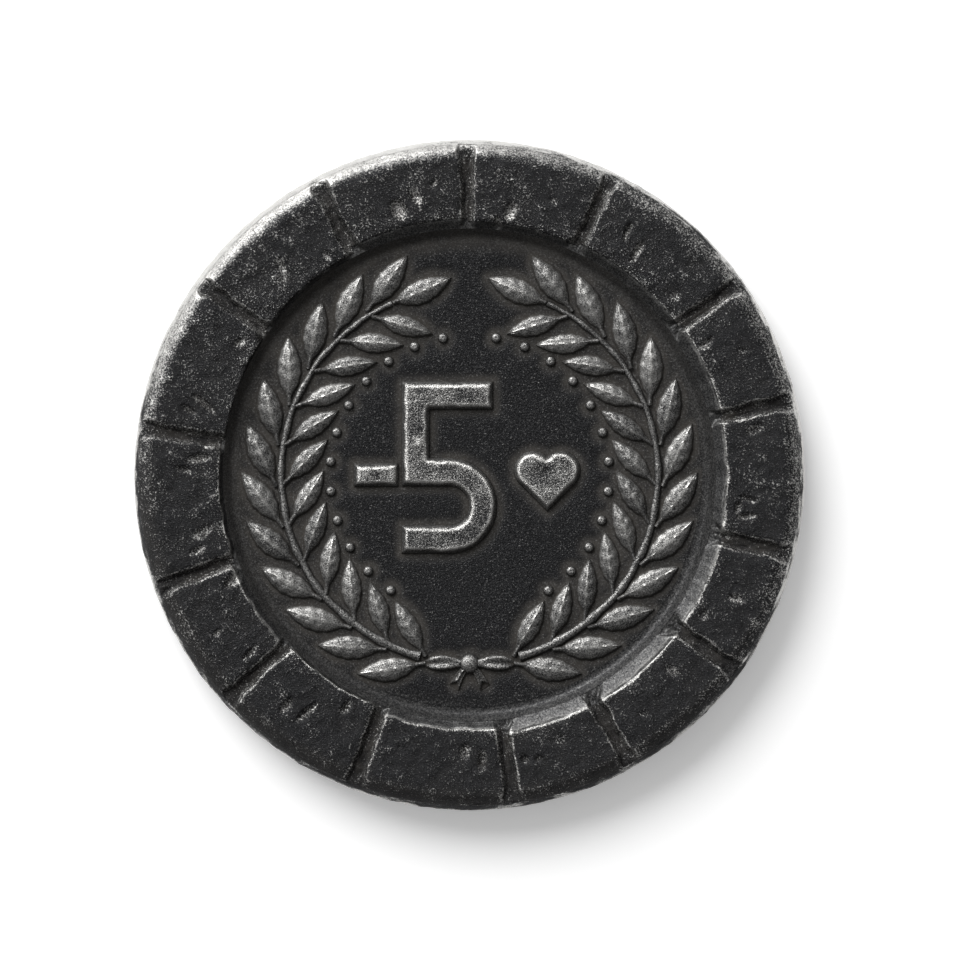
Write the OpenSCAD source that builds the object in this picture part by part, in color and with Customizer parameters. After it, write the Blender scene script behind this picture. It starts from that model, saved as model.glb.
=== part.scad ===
// A round metal game token, the same on both faces: a ring of worn stone blocks round a sunken field,
// and on the field a laurel wreath, a minus bar, the numeral five and a heart.
// The origin is at the middle of the lower face, and the front face looks up along Z.

/* [Token] */
// Diameter over the edge, at the parting line
token_d = 35; // [34:0.5:50]
// Thickness, from face to face
token_t = 3.2; // [3:0.1:5]
// How far the parting line stands out past the shoulders
edge_draft = 0.2; // [0.1:0.05:0.4]
// Width of the rounded shoulder, seen from above
shoulder_w = 0.75; // [0.6:0.05:0.9]
// Height of the rounded shoulder, which reaches below the floor of the joints
shoulder_h = 0.65; // [0.55:0.05:0.8]
// Angle that the rounded shoulder turns through, from its upper edge to its lower one
shoulder_turn = 60; // [50:2:70]

/* [Rim] */
// Width of the rim, from the edge to the field
rim_w = 5.4; // [4.8:0.05:6]
// Depth of the field below the faces of the stones
field_depth = 0.85; // [0.7:0.05:0.95]
// Width of the cove that rises from the field to the floor of the joints
cove_w = 0.75; // [0.5:0.05:1]

/* [Stones] */
// Depth of the joints between the stones
joint_depth = 0.4; // [0.3:0.05:0.5]
// Width of a joint at its floor
joint_w = 0.42; // [0.3:0.02:0.6]
// How far each wall of a joint leans back from its foot
joint_draft = 0.15; // [0.05:0.01:0.25]
// Longest run of a stone's inner wall, from its foot to its arris
slope_run = 0.78; // [0.3:0.02:1]
// Radius of the ball whose shape the dents have
dent_r = 1.3; // [1:0.1:2]
// Depth of the deepest dent
dent_depth = 0.14; // [0.05:0.01:0.25]
// Radius of the ball whose shape the chips in the arrises have
chip_r = 0.45; // [0.3:0.05:0.6]
// Depth of the deepest chip
chip_depth = 0.16; // [0.05:0.01:0.25]

/* [Numeral, bar and heart] */
// Height of the numeral
numeral_h = 9; // [7.5:0.1:10]
// Width of the numeral
numeral_w = 5; // [4.5:0.1:5.2]
// Width of the numeral's strokes at their foot
stroke_w = 1.5; // [1.1:0.05:1.7]
// Length of the minus bar
bar_l = 2.35; // [1.5:0.05:2.5]
// Width of the minus bar
bar_w = 1.25; // [0.9:0.05:1.5]
// Width of the heart
heart_w = 3.5; // [2.5:0.1:3.8]
// Room between the numeral and the minus bar
bar_gap = 0.15; // [0.1:0.05:0.4]
// Room between the numeral and the heart
heart_gap = 0.85; // [0.3:0.05:1]
// How far the numeral's middle lies left of the token's middle
numeral_shift = 1.05; // [0.8:0.05:1.3]
// How far the numeral's middle lies above the token's middle
numeral_lift = 0.4; // [0:0.1:0.8]
// How far the numeral, the bar and the heart stand up from the field
figure_rise = 0.45; // [0.3:0.05:0.6]
// How far their sloping sides run in from foot to top
figure_bevel = 0.2; // [0.1:0.02:0.3]

/* [Laurel wreath] */
// Room between the wreath and the edge of the field
wreath_margin = 0.2; // [0.1:0.05:0.6]
// Length of an outer leaf
outer_leaf_l = 3.2; // [2.8:0.1:3.5]
// Width of an outer leaf
outer_leaf_w = 1.35; // [1:0.05:1.4]
// Length of an inner leaf
inner_leaf_l = 2.9; // [2.5:0.1:3]
// Width of an inner leaf
inner_leaf_w = 1.15; // [0.9:0.05:1.25]
// How far the leaves stand up from the field
leaf_rise = 0.42; // [0.3:0.02:0.5]
// Distance from one pair of leaves to the next along the stem
leaf_pitch = 2.1; // [2:0.1:3]
// Angle between an outer leaf and the stem
outer_splay = 24; // [23:1:28]
// Angle between an inner leaf and the stem
inner_splay = 46; // [42:1:52]
// Width of a stem
stem_w = 0.45; // [0.3:0.05:0.6]
// How far the stems stand up from the field
stem_rise = 0.25; // [0.15:0.05:0.4]
// Room between a stem and the foot of a leaf
leaf_gap = 0.18; // [0.16:0.01:0.3]
// Diameter of a berry
berry_d = 0.56; // [0.4:0.02:0.62]
// How far the berries stand up from the field
berry_rise = 0.25; // [0.2:0.01:0.3]
// How far the ring of berries keeps inside the ring of the inner leaves' tips
berry_gap = 0.05; // [0:0.01:0.2]
// Distance between the tips of the two branches
tip_gap = 1.6; // [1:0.1:3]
// Width of the knot of the tie
knot_w = 1.1; // [0.8:0.05:1.3]
// Length of each loop of the tie
loop_l = 1.9; // [1.5:0.1:2.4]
// Width of each loop of the tie
loop_w = 0.85; // [0.6:0.05:1]
// Length of each tail of the tie
tail_l = 1.5; // [1:0.1:1.7]
// Width of each tail of the tie
tail_w = 0.65; // [0.5:0.05:0.8]
// Angle between each tail and the line from the knot straight to the edge
tail_turn = 35; // [25:1:50]

/* [Hidden] */
$fn = 96;
// Fineness of the large balls that give the leaves their sides
leaf_ball_fn = 240;
faces = ["front", "back"];

// Where the joints lie round the ring, in degrees from the right-hand side
joint_angles = [13, 35.5, 64.5, 90.5, 117.5, 144.5, 172, 200, 222.8, 249.5, 277.5, 299, 323.7, 346];
stone_count = len(joint_angles);

// What part of the longest run each stone's inner wall has
slope_shares = [0.86, 0.66, 0.45, 0.66, 0.25, 0.06, 0.25, 0.45, 0.12, 0.52, 0.93, 1, 0.93, 0.73];

// Each stone's larger and smaller dent: how far across it, how far out, and how deep
dent_shares = [
    [[0.62, 0.28, 0.7], [0.3, 0.7, 0.35]],
    [[0.66, 0.42, 1], [0.22, 0.3, 0.4]],
    [[0.7, 0.2, 0.9], [0.35, 0.6, 0.3]],
    [[0.45, 0.38, 1], [0.2, 0.75, 0.3]],
    [[0.55, 0.42, 0.8], [0.8, 0.7, 0.3]],
    [[0.8, 0.42, 1], [0.25, 0.3, 0.5]],
    [[0.24, 0.36, 1], [0.78, 0.4, 0.6]],
    [[0.84, 0.5, 0.7], [0.5, 0.75, 0.5]],
    [[0.42, 0.62, 1], [0.72, 0.22, 0.8]],
    [[0.72, 0.5, 0.8], [0.24, 0.44, 0.4]],
    [[0.22, 0.5, 0.5], [0.65, 0.6, 0.3]],
    [[0.68, 0.4, 0.6], [0.3, 0.7, 0.3]],
    [[0.5, 0.6, 0.5], [0.75, 0.3, 0.3]],
    [[0.3, 0.4, 1], [0.84, 0.5, 0.6]]
];

// Each stone's chip in its inner arris: how far across it, and how deep
chip_shares = [
    [0.3, 0.6], [0.8, 0.6], [0.72, 1], [0.25, 0.5], [0.14, 1], [0.9, 0.6], [0.9, 0.8],
    [0.3, 1], [0.6, 0.5], [0.1, 0.9], [0.2, 1], [0.4, 0.5], [0.85, 0.6], [0.16, 0.9]
];

// Overrun of every cutting shape
cut = 1;
field_z = token_t - field_depth;
joint_z = token_t - joint_depth;

token_r = token_d / 2;
shoulder_r = token_r - edge_draft;
face_r = shoulder_r - shoulder_w;
// The shoulder is an arc over the straight line between its two edges
shoulder_chord = sqrt(pow(shoulder_w, 2) + pow(shoulder_h, 2));
shoulder_arc_r = shoulder_chord / (2 * sin(shoulder_turn / 2));
shoulder_start = atan2(shoulder_h, shoulder_w) - shoulder_turn / 2;
shoulder_axis_r = face_r - shoulder_arc_r * sin(shoulder_start);
shoulder_axis_z = token_t - shoulder_arc_r * cos(shoulder_start);
field_r = token_r - rim_w;
foot_r = field_r + cove_w;
cove_rise = field_depth - joint_depth;
cove_arc_r = arc_radius(cove_w, cove_rise);

numeral_arc_r = numeral_w / 2;
numeral_left = -numeral_shift - numeral_w / 2;
numeral_right = -numeral_shift + numeral_w / 2;
numeral_foot = numeral_lift - numeral_h / 2;
heart_lobe_r = heart_w / (2 + sqrt(2));
heart_lobe_x = heart_w / 2 - heart_lobe_r;

leaf_tip_r = field_r - wreath_margin;
// An outer leaf's foot lies so far out that its tip just reaches the ring of the tips
outer_leaf_along = outer_leaf_l * cos(outer_splay);
outer_leaf_out = outer_leaf_l * sin(outer_splay);
outer_leaf_r = sqrt(pow(leaf_tip_r, 2) - pow(outer_leaf_along, 2)) - outer_leaf_out;
stem_r = outer_leaf_r - leaf_gap - stem_w / 2;
inner_leaf_r = stem_r - stem_w / 2 - leaf_gap;
leaf_step = arc_angle(leaf_pitch, stem_r);
tie_reach = knot_w / 2 + loop_l;
stem_start = -90 + arc_angle(tie_reach + leaf_gap, stem_r);
stem_end = 90 - arc_angle(tip_gap / 2 + outer_leaf_l + leaf_gap, stem_r);
leaf_pairs = floor((stem_end - stem_start) / leaf_step) + 1;
inner_tip_x = inner_leaf_r - inner_leaf_l * sin(inner_splay);
inner_tip_y = inner_leaf_l * cos(inner_splay);
inner_tip_angle = atan2(inner_tip_y, inner_tip_x);
berry_r = sqrt(pow(inner_tip_x, 2) + pow(inner_tip_y, 2)) - berry_d / 2 - berry_gap;
// How far round each berry lies from a leaf's tip, as a share of the step between two leaves
berry_turn_share = 0.3;

// Radius of an arc that runs this far from the place where it lies level and moves this far aside
function arc_radius(run, aside) = (run * run + aside * aside) / (2 * aside);

// The angle at the middle that this length takes up along a circle
function arc_angle(length, radius) = length / radius * 180 / PI;

function stone_name(face, i) = str(face, "_stone_", i < 9 ? "0" : "", i + 1);

function stone_start(i) = joint_angles[i];

function stone_end(i) = i < stone_count - 1 ? joint_angles[i + 1] : joint_angles[0] + 360;

function across_stone(i, share) = stone_start(i) + share * (stone_end(i) - stone_start(i));

function arris_r(i) = foot_r + slope_run * slope_shares[i];

// Turns what was made for the front face over to the back
module on_face(face) {
    if (face == "front")
        children();
    else
        translate([0, 0, token_t])
            rotate([0, 180, 0])
                children();
}

module at_polar(radius, angle) {
    rotate([0, 0, angle])
        translate([radius, 0, 0])
            children();
}

// Turns a section of the upper half over to the lower half as well
module both_halves() {
    children();
    translate([0, token_t])
        mirror([0, 1])
            children();
}

// Half of the token's outline from the side, before anything is cut into its faces
module blank_section() {
    band_z = token_t - shoulder_h;
    polygon([
        [0, token_t - band_z],
        [shoulder_r, token_t - band_z],
        [token_r, token_t / 2],
        [shoulder_r, band_z],
        [0, band_z]
    ]);
    both_halves() {
        translate([0, band_z])
            square([face_r, shoulder_h]);
        intersection() {
            translate([shoulder_axis_r, shoulder_axis_z])
                circle(shoulder_arc_r);
            translate([face_r, band_z])
                square([shoulder_w + cut, shoulder_h + cut]);
        }
    }
}

// What is cut away over the field, the cove and the joints' floor
module recess_section() {
    translate([0, field_z])
        square([field_r, field_depth + cut]);
    intersection() {
        translate([field_r, field_z + cove_arc_r])
            circle(cove_arc_r);
        translate([field_r, field_z])
            square([cove_w, cove_rise]);
    }
    translate([0, joint_z])
        square([token_r + cut, joint_depth + cut]);
}

module disc() {
    color("#2f3033")
        rotate_extrude()
            difference() {
                blank_section();
                both_halves()
                    recess_section();
            }
}

// A groove that runs out from the middle, with walls that lean back and run on past its floor and its top
module joint_cutter() {
    low = -joint_depth / 4;
    high = joint_depth * 2;
    low_half_w = joint_w / 2 + joint_draft * low / joint_depth;
    high_half_w = joint_w / 2 + joint_draft * high / joint_depth;
    translate([0, 0, joint_z])
        rotate([90, 0, 90])
            linear_extrude(token_r + cut)
                polygon([[-low_half_w, low], [low_half_w, low], [high_half_w, high], [-high_half_w, high]]);
}

// A ball that presses this deep into the front face, with its poles lying level
module ball_cutter(radius, depth) {
    translate([0, 0, token_t + radius - depth])
        rotate([0, -90, 0])
            sphere(radius);
}

module stone_ring_section(i) {
    intersection() {
        blank_section();
        polygon([
            [foot_r, joint_z],
            [arris_r(i), token_t],
            [token_r, token_t],
            [token_r, joint_z]
        ]);
    }
}

module stone(i) {
    color(i % 2 == 0 ? "#45464a" : "#3e3f43")
        difference() {
            rotate_extrude(angle = stone_end(i) - stone_start(i), start = stone_start(i))
                stone_ring_section(i);
            for (angle = [stone_start(i), stone_end(i)])
                rotate([0, 0, angle])
                    joint_cutter();
            for (dent = dent_shares[i])
                at_polar(arris_r(i) + dent[1] * (face_r - arris_r(i)), across_stone(i, dent[0]))
                    ball_cutter(dent_r, dent_depth * dent[2]);
            at_polar(arris_r(i), across_stone(i, chip_shares[i][0]))
                ball_cutter(chip_r, chip_depth * chip_shares[i][1]);
        }
}

// Section of a stroke: flat on the field, with sloping sides where the share of the bevel isn't zero
module stroke_section(width, shares = [1, 1]) {
    polygon([
        [-width / 2, 0],
        [width / 2, 0],
        [width / 2 - figure_bevel * shares[1], figure_rise],
        [-width / 2 + figure_bevel * shares[0], figure_rise]
    ]);
}

// A straight stroke, its lower left corner at the origin. The shares say which of its two ends slope
module stroke(length, width, shares = [1, 1]) {
    translate([length / 2, width / 2, 0])
        intersection() {
            rotate([90, 0, 90])
                linear_extrude(length, center = true)
                    stroke_section(width);
            rotate([90, 0, 0])
                linear_extrude(width, center = true)
                    stroke_section(length, shares);
        }
}

// A small block inside the strokes, across the seam of a straight stroke and the bowl, that makes them one
module stroke_core() {
    core_w = stroke_w / 2 - figure_bevel;
    cube([core_w, core_w, figure_rise / 2], center = true);
}

module numeral() {
    bowl_x = numeral_w - numeral_arc_r;
    waist_y = 2 * numeral_arc_r - stroke_w;
    color("#77787b")
        translate([numeral_left, numeral_foot, field_z]) {
            translate([0, numeral_h - stroke_w, 0])
                stroke(numeral_w - figure_bevel, stroke_w);
            translate([stroke_w, waist_y, 0])
                rotate([0, 0, 90])
                    stroke(numeral_h - waist_y, stroke_w);
            translate([0, waist_y, 0])
                stroke(bowl_x, stroke_w, [1, 0]);
            stroke(bowl_x, stroke_w, [1, 0]);
            translate([bowl_x, numeral_arc_r, 0])
                rotate_extrude(angle = 180, start = -90)
                    translate([numeral_arc_r - stroke_w / 2, 0])
                        stroke_section(stroke_w);
            for (y = [0, waist_y])
                translate([bowl_x, y + stroke_w / 2, figure_rise / 2])
                    stroke_core();
        }
}

module minus_bar() {
    color("#77787b")
        translate([numeral_left - bar_gap - bar_l, -bar_w / 2, field_z])
            stroke(bar_l, bar_w);
}

// The straight-sided half of the heart's lower point, cut to the line where its side meets the round lobe
module heart_side() {
    rotate([0, 0, 45])
        translate([-heart_w, -heart_lobe_r, 0])
            stroke(2 * heart_w, 2 * heart_w, [1, 1]);
}

module heart() {
    side_r = heart_lobe_r / sqrt(2);
    color("#77787b")
        translate([numeral_right + heart_gap + heart_w / 2, heart_lobe_r / 4, field_z]) {
            for (side = [-1, 1])
                translate([side * heart_lobe_x, 0, 0])
                    cylinder(figure_rise, heart_lobe_r, heart_lobe_r - figure_bevel);
            intersection() {
                linear_extrude(figure_rise)
                    polygon([
                        [-heart_lobe_x, 0],
                        [-heart_lobe_x - side_r, -side_r],
                        [0, -heart_lobe_x - 2 * side_r],
                        [heart_lobe_x + side_r, -side_r],
                        [heart_lobe_x, 0]
                    ]);
                translate([-heart_lobe_x, 0, 0])
                    mirror([1, 0, 0])
                        heart_side();
                translate([heart_lobe_x, 0, 0])
                    heart_side();
            }
        }
}

// The space above the field that a low relief shape may fill
module above_field(reach) {
    translate([-reach, -reach, 0])
        cube([2 * reach, 2 * reach, reach]);
}

// A low round cap, flat on the field, with its ball's poles lying level
module low_cap(width, rise) {
    ball_r = arc_radius(width / 2, rise);
    intersection() {
        translate([0, 0, rise - ball_r])
            rotate([0, 90, 0])
                sphere(ball_r);
        above_field(width);
    }
}

// A low leaf shape along X, from the origin to its length: flat on the field, pointed at both ends,
// with two rounded sides that meet in a keel. Each side is a piece of a ball that passes through both tips
module low_leaf(length, width, rise) {
    ball_y = arc_radius(length / 2, width / 2) - width / 2;
    ball_z = arc_radius(length / 2, rise) - rise;
    ball_r = sqrt(pow(ball_y + width / 2, 2) + pow(ball_z, 2));
    translate([length / 2, 0, 0])
        intersection() {
            translate([0, ball_y, -ball_z])
                sphere(ball_r, $fn = leaf_ball_fn);
            translate([0, -ball_y, -ball_z])
                sphere(ball_r, $fn = leaf_ball_fn);
            above_field(length);
        }
}

// Turns what was made for the right branch into the left one
module on_branch(branch) {
    if (branch == "right")
        children();
    else
        mirror([1, 0, 0])
            children();
}

// Sets a shape on a ring round the middle, pointing along the stem and then turned outward by the splay
module along_stem(radius, angle, splay) {
    at_polar(radius, angle)
        rotate([0, 0, 90 - splay])
            children();
}

module stem() {
    arc_r = arc_radius(stem_w / 2, stem_rise);
    color("#66676a")
        translate([0, 0, field_z])
            rotate_extrude(angle = stem_end - stem_start, start = stem_start)
                intersection() {
                    translate([stem_r, stem_rise - arc_r])
                        circle(arc_r);
                    translate([stem_r - stem_w, 0])
                        square([2 * stem_w, stem_rise]);
                }
}

module outer_leaves() {
    color("#77787b")
        translate([0, 0, field_z]) {
            for (k = [0:leaf_pairs - 1])
                along_stem(outer_leaf_r, stem_start + k * leaf_step, outer_splay)
                    low_leaf(outer_leaf_l, outer_leaf_w, leaf_rise);
            along_stem(stem_r, stem_end + arc_angle(leaf_gap, stem_r), 0)
                low_leaf(outer_leaf_l, outer_leaf_w, leaf_rise);
        }
}

module inner_leaves() {
    color("#77787b")
        translate([0, 0, field_z])
            for (k = [0:leaf_pairs - 1])
                along_stem(inner_leaf_r, stem_start + k * leaf_step, -inner_splay)
                    low_leaf(inner_leaf_l, inner_leaf_w, leaf_rise);
}

module berries() {
    color("#77787b")
        translate([0, 0, field_z])
            for (branch = ["right", "left"])
                on_branch(branch)
                    for (k = [0:leaf_pairs - 1])
                        at_polar(berry_r, stem_start + inner_tip_angle + (k + berry_turn_share) * leaf_step)
                            low_cap(berry_d, berry_rise);
}

module tie() {
    color("#77787b")
        translate([0, -stem_r, field_z]) {
            low_cap(knot_w, leaf_rise);
            for (side = [0, 180])
                rotate([0, 0, side])
                    low_leaf(tie_reach, loop_w, leaf_rise);
            for (side = [-1, 1])
                rotate([0, 0, -90 + side * tail_turn])
                    low_leaf(tail_l, tail_w, stem_rise);
        }
}

disc();
for (face = faces, i = [0:stone_count - 1])
    on_face(face) stone(i);
for (face = faces) {
    on_face(face) numeral();
    on_face(face) minus_bar();
    on_face(face) heart();
    on_face(face) berries();
    on_face(face) tie();
    for (branch = ["right", "left"]) {
        on_face(face) on_branch(branch) stem();
        on_face(face) on_branch(branch) outer_leaves();
        on_face(face) on_branch(branch) inner_leaves();
    }
}
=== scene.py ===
"""The looks of a round cast-metal game token with a black antique finish, rubbed bright on its high places.

Shapes are worked out in millimetres, in the frame's own axes, and become metres when a piece is made.
Each piece is made for the front face. On the back it is turned over, and most have other random seeds."""

import itertools
import math
from types import SimpleNamespace

import bmesh
import bpy
import numpy as np
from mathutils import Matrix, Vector
from mathutils.geometry import delaunay_2d_cdt
from mathutils.kdtree import KDTree


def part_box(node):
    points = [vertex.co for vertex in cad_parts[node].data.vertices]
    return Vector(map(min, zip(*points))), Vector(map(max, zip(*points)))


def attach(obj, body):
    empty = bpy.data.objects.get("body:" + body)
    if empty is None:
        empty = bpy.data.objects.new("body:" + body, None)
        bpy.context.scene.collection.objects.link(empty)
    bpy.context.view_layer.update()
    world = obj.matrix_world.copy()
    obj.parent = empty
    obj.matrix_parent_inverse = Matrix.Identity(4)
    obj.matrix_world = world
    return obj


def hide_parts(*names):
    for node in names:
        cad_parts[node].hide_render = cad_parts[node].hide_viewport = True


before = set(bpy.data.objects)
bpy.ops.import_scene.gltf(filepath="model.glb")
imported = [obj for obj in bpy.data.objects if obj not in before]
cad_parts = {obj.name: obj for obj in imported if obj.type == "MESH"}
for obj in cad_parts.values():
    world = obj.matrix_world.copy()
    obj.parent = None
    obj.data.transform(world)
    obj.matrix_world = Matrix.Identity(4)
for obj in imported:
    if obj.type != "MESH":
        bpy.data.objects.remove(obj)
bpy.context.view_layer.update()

MM = 0.001
FACES = ("front", "back")
SIDES = ("right", "left")
FEATURES = ("numeral", "minus_bar", "heart")
# Lengths below this count as nothing
HAIR = 0.002
# How far the feet of the raised pieces reach into what carries them
SINK = 0.03
# Sides that meet more sharply are shaded apart
CREASE = math.radians(58)


# What the frame says


def box(node):
    """The lowest and the highest corner of a CAD node's bounds."""
    return [np.array(corner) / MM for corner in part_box(node)]


def points(node):
    """The corners of a CAD node's mesh."""
    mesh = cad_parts[node].data
    corners = np.empty(len(mesh.vertices) * 3)
    mesh.vertices.foreach_get("co", corners)
    return corners.reshape(-1, 3) / MM


def polar(corners):
    """How far out these corners lie, and in which direction, in degrees."""
    return np.hypot(corners[:, 0], corners[:, 1]), np.degrees(np.arctan2(corners[:, 1], corners[:, 0]))


def outlines(node, level):
    """The closed outlines of a CAD node's flat faces at this level, as lists of corners."""
    corners = points(node)
    _, merged = np.unique(np.round(corners, 4), axis=0, return_inverse=True)
    merged = merged.ravel()
    place = {index: corners[k, :2] for k, index in enumerate(merged)}
    steps = {}
    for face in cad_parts[node].data.polygons:
        if all(abs(corners[v, 2] - level) < HAIR for v in face.vertices):
            ring = [merged[v] for v in face.vertices]
            for a, b in zip(ring, ring[1:] + ring[:1]):
                if steps.get(b) and a in steps[b]:
                    steps[b].remove(a)
                else:
                    steps.setdefault(a, []).append(b)
    found = []
    while any(steps.values()):
        start = next(a for a in steps if steps[a])
        loop = [start]
        while steps.get(loop[-1]):
            loop.append(steps[loop[-1]].pop())
        found.append(np.array([place[index] for index in loop[:-1]]))
    return found


def resampled(loop, pitch):
    """A closed outline with a point about every pitch, all its own corners kept."""
    made = []
    for a, b in zip(loop, np.roll(loop, -1, axis=0)):
        count = max(1, round(math.dist(a, b) / pitch))
        made += [a + (b - a) * k / count for k in range(count)]
    return np.array(made)


TOKEN_R = box("disc")[1][0]
JOINT_Z, TOKEN_T = (corner[2] for corner in box("front_stone_01"))
FIELD_Z = box("front_numeral")[0][2]
disc_r, _ = polar(points("disc"))
disc_z = points("disc")[:, 2]
FIELD_R = disc_r[abs(disc_z - FIELD_Z) < HAIR].max()
FOOT_R = disc_r[abs(disc_z - JOINT_Z) < HAIR].min()
FLOOR_END_R = disc_r[abs(disc_z - JOINT_Z) < HAIR].max()
STONES = sorted(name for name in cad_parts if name.startswith("front_stone"))
stem_r, _ = polar(points("front_right_stem"))
STEM_R = (stem_r.min() + stem_r.max()) / 2
STEM_RISE = box("front_right_stem")[1][2] - FIELD_Z
RELIEF_RISE = box("front_tie")[1][2] - FIELD_Z
SUNK_Z = FIELD_Z - SINK


# Random heights

# Large numbers that scatter the noise's grid
GRID_KEYS = np.array([73856093, 19349663, 49979687])
SEED_KEY = 83492791
MIX_KEY = 1274126177


def smooth_noise(at, pitch, seed):
    """Smooth random values from -1 to 1 at points in the plane or in space, in humps about a pitch apart."""
    cell = np.floor(at / pitch).astype(np.int64)
    part = at / pitch - cell
    part = part * part * (3 - 2 * part)
    total = np.zeros(at.shape[:-1])
    for corner in itertools.product((0, 1), repeat=at.shape[-1]):
        key = (cell + corner) @ GRID_KEYS[:at.shape[-1]] + seed * SEED_KEY
        key = (key ^ (key >> 13)) * MIX_KEY
        key = (key ^ (key >> 16)) & 0xFFFF
        weight = np.prod(np.where(corner, part, 1 - part), axis=-1)
        total += weight * (key / 0x8000 - 1)
    return total


def rough(at, pitch, seed, octaves=3):
    """Noise of several pitches together, each half as wide and half as high as the one before."""
    return sum(smooth_noise(at, pitch / 2 ** k, seed + k) / 2 ** k for k in range(octaves))


def ramp(value, low, high):
    """0 below low, 1 above high, and a smooth rise between them."""
    share = np.clip((value - low) / (high - low), 0, 1)
    return share * share * (3 - 2 * share)


def bell(value, width):
    """1 where the value is 0, and less and less over this width to both sides."""
    return np.exp(-((value / width) ** 2))


def soft_least(surfaces, width):
    """The lowest of several surfaces, rounded over this width where two meet, and how near that is."""
    stack = np.array(surfaces)
    hard = stack.min(axis=0)
    soft = hard - width * np.log(np.exp(-(stack - hard) / width).sum(axis=0))
    return soft, np.clip((hard - soft) / (width * math.log(2)), 0, 1)


# Meshes

# The first lines of a grid, in widths of its edge strip
EDGE_LINES = np.concatenate([np.linspace(0, 1.3, 20), (1.45, 1.7)])


def turned_over(vertices):
    """What was made for the front face, as it lies on the back."""
    return vertices * (-1, 1, -1) + (0, 0, TOKEN_T)


def make_piece(replaced, vertices, polygons, slot, **marks):
    """Adds one closed piece in place of a CAD node. Its metal reads its marks, one value per vertex each."""
    if replaced.startswith("back"):
        vertices = turned_over(vertices)
    name = f"{replaced}_cast"
    mesh = bpy.data.meshes.new(name)
    mesh.from_pydata((vertices * MM).tolist(), [], polygons)
    mesh.shade_smooth()
    mesh.set_sharp_from_angle(angle=CREASE)
    for mark, values in marks.items():
        mesh.attributes.new(mark, "FLOAT", "POINT").data.foreach_set("value", values.astype(np.float32))
    mesh.materials.append(METALS[slot])
    piece = bpy.data.objects.new(name, mesh)
    bpy.context.scene.collection.objects.link(piece)
    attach(piece, "root")
    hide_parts(replaced)
    return piece


class Heap:
    """Several closed solids gathered into one mesh, with the marks of their vertices."""

    def __init__(self):
        self.vertices, self.polygons, self.marks, self.count = [], [], {}, 0

    def add(self, vertices, polygons, **marks):
        self.vertices.append(vertices)
        self.polygons += [[v + self.count for v in polygon] for polygon in polygons]
        self.count += len(vertices)
        for mark, values in marks.items():
            self.marks.setdefault(mark, []).append(values)

    def make(self, replaced, slot):
        marks = {mark: np.concatenate(values) for mark, values in self.marks.items()}
        return make_piece(replaced, np.concatenate(self.vertices), self.polygons, slot, **marks)


def closed_below(rim, polygons, vertices, foot_z):
    """Closes a surface downward: walls from its rim, which runs anticlockwise, and a flat underside."""
    low = vertices[rim].copy()
    low[:, 2] = foot_z
    below = len(vertices) + np.arange(len(rim))
    walls = np.stack([np.roll(rim, -1), rim, below, np.roll(below, -1)], axis=-1)
    return np.concatenate([vertices, low]), polygons + walls.tolist() + [below[::-1].tolist()]


def grid_solid(top, foot_z):
    """Vertices and polygons of a closed solid with a grid of points as its upper side."""
    rows, columns = top.shape[:2]
    index = np.arange(rows * columns).reshape(rows, columns)
    quads = np.stack([index[:-1, :-1], index[1:, :-1], index[1:, 1:], index[:-1, 1:]], axis=-1)
    rim = np.concatenate([index[:-1, 0], index[-1, :-1], index[:0:-1, -1], index[0, :0:-1]])
    return closed_below(rim, quads.reshape(-1, 4).tolist(), top.reshape(-1, 3), foot_z)


def for_grid(values):
    """A mark of a grid's points, followed by 0 for each point that closes it below."""
    rows, columns = values.shape
    return np.concatenate([values.ravel(), np.zeros(2 * (rows + columns) - 4)])


def edge_spread(length, edge, pitch):
    """Places from 0 to this length: close together along both edges, and a pitch apart between them."""
    near = edge * EDGE_LINES
    middle = np.linspace(near[-1], length - near[-1], max(2, round((length - 2 * near[-1]) / pitch)))
    return np.concatenate([near, middle[1:-1], length - near[::-1]])


# The ring of stones

# The joints' width at their floors, and how far each of their walls leans on its way up
JOINT_W = 0.42
JOINT_LEAN = 0.22
# How much wider the joints are at their outer end, and how far in that begins
JOINT_FLARE = 0.22
FLARE_RUN = 0.9
# How far the edges of joints and inner walls stray, and in how wide humps
JOINT_RAG = 0.07
FOOT_RAG = 0.05
RAG_PITCH = 0.8
FACE_R = TOKEN_R - 0.95
SHOULDER_R = TOKEN_R - 0.2
SHOULDER_LOW_Z = TOKEN_T - 0.65
SHOULDER_TURN = math.radians(60)
STONE_END_R = SHOULDER_R - 0.04
RING_R = (FOOT_R + FLOOR_END_R) / 2
STONE_PITCH = 0.085
STONE_ROUND = 0.028
FOOT_ROUND = 0.035
CORNER_SLOPE = 1.1
# How far the faces lie below the token's full height, and how high their waves may rise
FACE_DROP = 0.035
WAVE_MOST = 0.033
# How far the faces slump along their arrises, over which run, and how wide the arrises are rubbed
ARRIS_SLUMP = 0.04
ARRIS_RUN = 0.08
ARRIS_RUBBED = 0.06
# How far the joints' floors lie below the CAD's
FLOOR_DROP = 0.03
# The sides on which the edge is rubbed and also painted bright as a highlight, the first on the lamp's side:
# direction, how much, and the cosine at which that sets in
RUBBED_AND_LIT_SIDES = ((math.radians(122), 0.175, 0.36), (math.radians(20), 0.09, 0.3))
# The lamp's side, where the edge has the most wear and painted highlight
RUBBED_LAMP_SIDE, MOST_RUB_AND_HIGHLIGHT = RUBBED_AND_LIT_SIDES[0][:2]
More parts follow.
